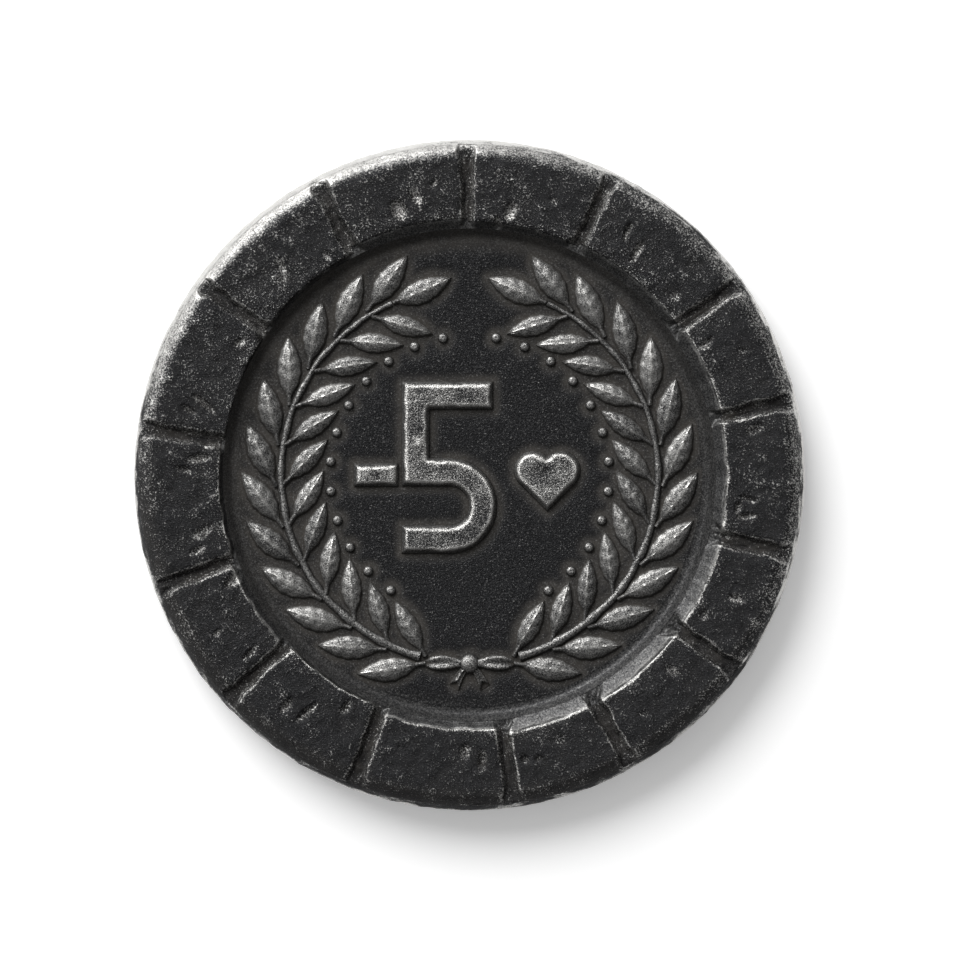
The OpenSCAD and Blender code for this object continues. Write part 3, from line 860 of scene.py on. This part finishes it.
def stem(side, face):
    """A round-backed branch along its ring, thicker at the tie, with a knot at each pair of leaves."""
    name = f"{side}_stem"
    radius, angle = polar(points(f"front_{name}"))
    sweep = np.radians(angle if side == "right" else 180 - angle)
    sweep = (sweep + math.pi) % math.tau - math.pi
    low, high = sweep.min(), sweep.max()
    width = radius.max() - radius.min()
    middle = (radius.max() + radius.min()) / 2
    lines, columns = STEM_POINTS
    backs = np.sin(np.linspace(-1, 1, columns) * math.pi / 2)
    share, across = np.meshgrid(np.linspace(0, 1, lines), backs, indexing="ij")
    turn = low + (high - low) * share
    pairs = len(outlines(f"front_{side}_inner_leaves", FIELD_Z))
    knots = 0.5 + 0.5 * np.cos(share * (pairs - 1) * math.tau)
    half = width / 2 * (1.08 - 0.4 * share) * (1 + 0.18 * knots ** 4)
    wander = 0.03 * rough(np.stack([share * 18, 0 * share], axis=-1), 1.2, 77)
    ring = middle + wander + across * half
    height = STEM_RISE * (1.02 - 0.2 * share) * np.sqrt(np.clip(1 - across ** 2, 0, 1))
    height *= 0.85 + 0.15 * knots ** 3
    lifted = FIELD_Z + np.minimum(height, STEM_RISE)
    flip = 1 if side == "right" else -1
    top = np.stack([flip * ring * np.cos(turn), ring * np.sin(turn), lifted], axis=-1)
    # Rows have to run outward and columns anticlockwise for the solid's sides to face out
    top, height = (np.swapaxes(grid, 0, 1)[:, ::flip] for grid in (top, height))
    vertices, polygons = grid_solid(top, SUNK_Z)
    raised = ramp(height, 0.03, 0.2)
    marks = relief_marks(0.05 + 0.33 * raised, raised, 0.25)
    make_piece(f"{face}_{name}", vertices, polygons, "relief_metal", **marks)


def dome(heap, centre, radius, rise, dimple=0):
    """A low round berry with a flattened crown, which can have a dimple this deep."""
    rows, columns = 8, 24
    shares = np.linspace(0.04, 1, rows)
    turns = np.linspace(0, math.tau, columns, endpoint=False)
    share, turn = np.meshgrid(shares, turns, indexing="ij")
    height = rise * np.sqrt(np.clip(1 - share ** 2.4, 0, 1)) - dimple * bell(share, 0.28)
    flat = centre + radius * np.stack([share * np.cos(turn), share * np.sin(turn)], axis=-1)
    top = np.concatenate([flat, (FIELD_Z + height)[..., None]], axis=-1).reshape(-1, 3)
    index = np.arange(rows * columns).reshape(rows, columns)
    after = np.roll(index, -1, axis=1)
    quads = np.stack([index[:-1], index[1:], after[1:], after[:-1]], axis=-1).reshape(-1, 4).tolist()
    quads.append(index[0].tolist())
    vertices, polygons = closed_below(index[-1], quads, top, SUNK_Z)
    raised = np.concatenate([ramp(height.ravel() / rise, 0.15, 0.8), np.zeros(columns)])
    heap.add(
        vertices, polygons, wear=0.05 + 0.38 * raised, grain=0.2 + 0.25 * raised, dust=1 - raised
    )


def berries(face):
    heap = Heap()
    rise = box("front_berries")[1][2] - FIELD_Z
    for loop in outlines("front_berries", FIELD_Z):
        centre = (loop.min(0) + loop.max(0)) / 2
        dome(heap, centre, np.ptp(loop[:, 0]) / 2, rise, dimple=0.02)
    heap.make(f"{face}_berries", "relief_metal")


def loop_half_width(u):
    return LOOP_W / 2 * np.sin(math.pi * (0.06 + 0.9 * u ** 1.5)) ** 0.75


def loop_profile(u, v):
    """Heights of a loop of the bow, with a hollow in it."""
    height = RELIEF_RISE * 0.95 * (1 - v ** 6) * (0.62 + 0.38 * abs(v) ** 1.5 * ramp(u, 0.25, 0.5))
    return height * np.clip(1.06 - u ** 6, 0, 1) * (1 - 0.25 * bell(v, 0.3) * ramp(u, 0.3, 0.7))


def tail_half_width(u):
    return TAIL_W / 2 * (0.45 + 0.5 * u)


def tail_profile(u, v):
    """Heights of a tail of the bow, which ends in a notch."""
    height = STEM_RISE * (1 - v ** 6) * (0.8 + 0.2 * np.cos(v * 6))
    return height * ramp(1.04 - u - 0.2 * (1 - abs(v)), 0, 0.12)


def tie(face):
    """The wreath's bow: a knot, two loops and two tails."""
    reach = box("front_tie")[1][0]
    middle = np.array([0, -STEM_R])
    heap = Heap()
    for side in (-1, 1):
        loop_tip = middle + (side * reach * 0.985, 0)
        turn = math.radians(-90 + side * TAIL_TURN)
        tail_tip = middle + TAIL_L * np.array([math.cos(turn), math.sin(turn)])
        for solid in (
            strip(middle, loop_tip, (0.05 * side, 3), loop_half_width, loop_profile),
            strip(middle, tail_tip, (0.06 * side, 4), tail_half_width, tail_profile),
        ):
            _, v, height, vertices, polygons = solid
            raised = ramp(height, 0.04, 0.25)
            wear = 0.04 + 0.3 * raised + 0.1 * abs(v)
            heap.add(vertices, polygons, **relief_marks(wear, raised, 0.3))
    dome(heap, middle, KNOT_W / 2, RELIEF_RISE)
    heap.make(f"{face}_tie", "relief_metal")


# Materials

PATINA = (0.0235, 0.0237, 0.025)
DUSTY = (0.046, 0.0418, 0.0368)
BARE = (0.77, 0.76, 0.735)
# How much the black finish mirrors at grazing angles, against 1 for bare metal
PATINA_SHEEN = 0.38
# How high the grains are that show bare metal, and how far wear lowers that
BARE_ABOVE = 0.72
WEAR_REACH = 0.62
ROUGH_BLACK = 0.42
ROUGH_BARE = 0.33
# How much rougher dusty and smooth places are
ROUGHER_DUSTY = 0.3
ROUGHER_SMOOTH = 0.09
GRAIN_RELIEF = 0.09 * MM


class Shader:
    """The node tree of a material or a world, with short ways to add nodes to it."""

    def __init__(self, owner):
        owner.use_nodes = True
        self.tree = owner.node_tree
        self.tree.nodes.clear()

    def add(self, kind, inputs=(), **settings):
        made = self.tree.nodes.new(kind)
        for setting, value in settings.items():
            setattr(made, setting, value)
        for socket, value in dict(inputs).items():
            self.fill(made.inputs[socket], value)
        return made

    def fill(self, socket, value):
        """Links this socket to another one, or sets it to a plain value."""
        if isinstance(value, bpy.types.NodeSocket):
            self.tree.links.new(value, socket)
        else:
            socket.default_value = value

    def end(self, kind, surface):
        """Makes this node's first output the surface that is seen."""
        self.add(kind, {"Surface": surface.outputs[0]})

    def calc(self, a, operation, b, clamp=False):
        return self.add("ShaderNodeMath", {0: a, 1: b}, operation=operation, use_clamp=clamp).outputs[0]

    def mark(self, name):
        return self.add("ShaderNodeAttribute", attribute_name=name).outputs["Fac"]

    def noise(self, place, per_mm, detail, roughness=0.55):
        """Noise with this many humps in a millimetre."""
        inputs = {"Vector": place, "Scale": per_mm / MM, "Detail": detail, "Roughness": roughness}
        return self.add("ShaderNodeTexNoise", inputs).outputs["Fac"]

    def between(self, value, low, high, to_low=0.0, to_high=1.0):
        """A smooth change from one value to another while this one goes from low to high."""
        inputs = {"Value": value, "From Min": low, "From Max": high, "To Min": to_low, "To Max": to_high}
        return self.add("ShaderNodeMapRange", inputs, interpolation_type="SMOOTHSTEP").outputs["Result"]

    def mix(self, share, a, b):
        """A share of colour b in colour a."""
        made = self.add("ShaderNodeMix", {"Factor": share}, data_type="RGBA")
        for socket, colour in ((6, a), (7, b)):
            linked = isinstance(colour, bpy.types.NodeSocket)
            self.fill(made.inputs[socket], colour if linked else (*colour, 1))
        return made.outputs[2]


def shades(colour, *shares):
    """The same colour at these shares of its brightness."""
    return [tuple(share * part for part in colour) for share in shares]


def cast_metal(name, flecks, grain_per_mm=9.0):
    """Cast metal under a black antique finish. Rubbed places show bare metal, through a grain of small pits.

    It reads three marks: wear, from black to rubbed, which also holds painted highlight and shade; grain,
    from smooth to sandy; and dust, which is dull and also holds painted shade and fill light."""
    material = bpy.data.materials.new(name)
    shader = Shader(material)
    place = shader.add("ShaderNodeTexCoord").outputs["Object"]
    wear, grain, dust = (shader.mark(mark) for mark in ("wear", "grain", "dust"))
    sand = shader.noise(place, grain_per_mm, 3.0, 0.6)
    fine = shader.noise(place, grain_per_mm * 2.1, 2.0, 0.5)
    cloud = shader.noise(place, 0.9, 3.0, 0.6)
    height = shader.calc(shader.calc(sand, "MULTIPLY", 0.6), "ADD", shader.calc(fine, "MULTIPLY", 0.4))

    # The more a place is worn or painted bright, the lower the grains that show bare metal
    patchy = shader.calc(wear, "ADD", shader.between(cloud, 0.3, 0.7, flecks - 0.014, flecks + 0.014))
    level = shader.calc(BARE_ABOVE, "SUBTRACT", shader.calc(patchy, "MULTIPLY", WEAR_REACH))
    # On sandy places the two finishes part sharply, on smooth ones they blend
    blend = shader.between(grain, 0.0, 0.9, 0.48, 0.125)
    blend = shader.calc(blend, "ADD", shader.between(grain, 0.0, 0.2, 0.4, 0.0))
    above = shader.calc(shader.calc(height, "SUBTRACT", level), "DIVIDE", blend)
    rubbed = shader.between(above, -0.3, 1)
    dusted = shader.calc(dust, "MULTIPLY", shader.between(cloud, 0.3, 0.65, 0.5, 1))
    dusted = shader.calc(dusted, "MULTIPLY", shader.calc(1.0, "SUBTRACT", rubbed), clamp=True)

    bare = shader.mix(shader.noise(place, 2.5, 2.0), *shades(BARE, 0.56, 1))
    black = shader.mix(shader.between(fine, 0.36, 0.64), *shades(PATINA, 0.65, 1.55))
    metallic = shader.calc(shader.between(rubbed, 0, 1, 0.85, 1), "SUBTRACT", dusted, clamp=True)
    dull = shader.between(rubbed, 0, 1, ROUGH_BLACK, ROUGH_BARE)
    dull = shader.calc(dull, "ADD", shader.between(grain, 0, 0.6, ROUGHER_SMOOTH, 0.0))
    dull = shader.calc(dull, "ADD", shader.calc(dusted, "MULTIPLY", ROUGHER_DUSTY))
    relief = shader.calc(height, "MULTIPLY", shader.between(grain, 0, 1, 0.06, 1))
    bump = shader.add("ShaderNodeBump", {"Height": relief, "Strength": 1.0, "Distance": GRAIN_RELIEF})
    shader.end("ShaderNodeOutputMaterial", shader.add("ShaderNodeBsdfPrincipled", {
        "Base Color": shader.mix(dusted, shader.mix(rubbed, black, bare), DUSTY),
        "Metallic": metallic,
        "Roughness": dull,
        "Specular IOR Level": 0.4,
        "Specular Tint": shader.mix(rubbed, (PATINA_SHEEN,) * 3, (1,) * 3),
        "Normal": bump.outputs["Normal"],
    }))
    return material


# The studio

# Where the lamp stands, how strong it is, and how wide it looks from the token
KEY_AZIMUTH = 122
KEY_ZENITH = 54
KEY_STRENGTH = 3.4
KEY_WIDTH = 46
# Where the room is brightest, and how bright it is on the side away from there
ROOM_ZENITH = 80
ROOM_DIM = 0.19
TABLE_WHITE = 0.93
TABLE_LIFT = 0.3


def key_direction(from_zenith):
    azimuth, zenith = math.radians(KEY_AZIMUTH), math.radians(from_zenith)
    aside = math.sin(zenith)
    return Vector((aside * math.cos(azimuth), aside * math.sin(azimuth), math.cos(zenith)))


def placed(name, data):
    """Adds an object to the scene."""
    made = bpy.data.objects.new(name, data)
    bpy.context.scene.collection.objects.link(made)
    return made


def lamp():
    """A large soft lamp at the upper left."""
    light = bpy.data.lights.new("key", "SUN")
    light.energy = KEY_STRENGTH
    light.angle = math.radians(KEY_WIDTH)
    key = placed("key", light)
    key.rotation_mode = "QUATERNION"
    key.rotation_quaternion = key_direction(KEY_ZENITH).to_track_quat("Z", "Y")


def room():
    """A room that is brighter on the lamp's side."""
    world = bpy.data.worlds.new("room")
    bpy.context.scene.world = world
    shader = Shader(world)
    place = shader.add("ShaderNodeTexCoord").outputs["Generated"]
    inputs = {0: place, 1: key_direction(ROOM_ZENITH)}
    toward = shader.add("ShaderNodeVectorMath", inputs, operation="DOT_PRODUCT")
    strength = shader.between(toward.outputs["Value"], 0.0, 1.0, ROOM_DIM, 1.0)
    shader.end("ShaderNodeOutputWorld", shader.add("ShaderNodeBackground", {"Strength": strength}))


def lay_table():
    """A white table, brightened where the camera sees it, also in a mirror or through something clear."""
    white_table = bpy.data.materials.new("white_table")
    shader = Shader(white_table)
    white = shader.add("ShaderNodeBsdfDiffuse", {"Color": (TABLE_WHITE, TABLE_WHITE, TABLE_WHITE, 1)})
    lift = shader.add("ShaderNodeEmission", {"Strength": TABLE_LIFT})
    brightened = shader.add("ShaderNodeAddShader", {0: white.outputs[0], 1: lift.outputs[0]})
    seen = shader.add("ShaderNodeLightPath").outputs
    direct = shader.calc(seen["Is Camera Ray"], "MAXIMUM", seen["Is Glossy Ray"])
    direct = shader.calc(direct, "MAXIMUM", seen["Is Transmission Ray"])
    shader.end("ShaderNodeOutputMaterial", shader.add(
        "ShaderNodeMixShader", {0: direct, 1: white.outputs[0], 2: brightened.outputs[0]}
    ))
    half = 3.0
    corners = [(-half, -half, 0), (half, -half, 0), (half, half, 0), (-half, half, 0)]
    mesh = bpy.data.meshes.new("table")
    mesh.from_pydata(corners, [], [(0, 1, 2, 3)])
    mesh.materials.append(white_table)
    table = placed("table", mesh)


# The photograph's frame in pixels, and where the token lies in it
FRAME_PX = 960
TOKEN_MIDDLE_PX = (469.5, 475)
TOKEN_RADIUS_PX = 335.5
CAMERA_HEIGHT = 1000.0


def camera():
    """Straight above the token through a long lens, with the token where the photograph has it."""
    pixel = TOKEN_R / TOKEN_RADIUS_PX
    data = bpy.data.cameras.new("camera")
    data.sensor_width = 36
    data.lens = data.sensor_width * (CAMERA_HEIGHT - TOKEN_T / 2) / (FRAME_PX * pixel)
    data.clip_start, data.clip_end = 0.1, 10
    eye = placed("camera", data)
    offset_x = (FRAME_PX / 2 - TOKEN_MIDDLE_PX[0]) * pixel
    offset_y = (TOKEN_MIDDLE_PX[1] - FRAME_PX / 2) * pixel
    eye.location = Vector((offset_x, offset_y, CAMERA_HEIGHT)) * MM
    bpy.context.scene.camera = eye


bpy.context.scene.view_settings.view_transform = "Standard"
camera()
lamp()
room()
lay_table()
METALS = {
    "stone_metal": cast_metal("stone_metal_cast", flecks=0.155, grain_per_mm=10.5),
    "field_metal": cast_metal("field_metal_cast", flecks=0.15),
    "relief_metal": cast_metal("relief_metal_cast", flecks=0.05, grain_per_mm=12.0),
}
disc()
for face in FACES:
    for index, edges in enumerate(stone_edges()):
        stone(index, edges, face)
    for name in FEATURES:
        figure(name, face)
    for side in SIDES:
        stem(side, face)
        leaves(f"{side}_outer_leaves", face)
        leaves(f"{side}_inner_leaves", face)
    berries(face)
    tie(face)
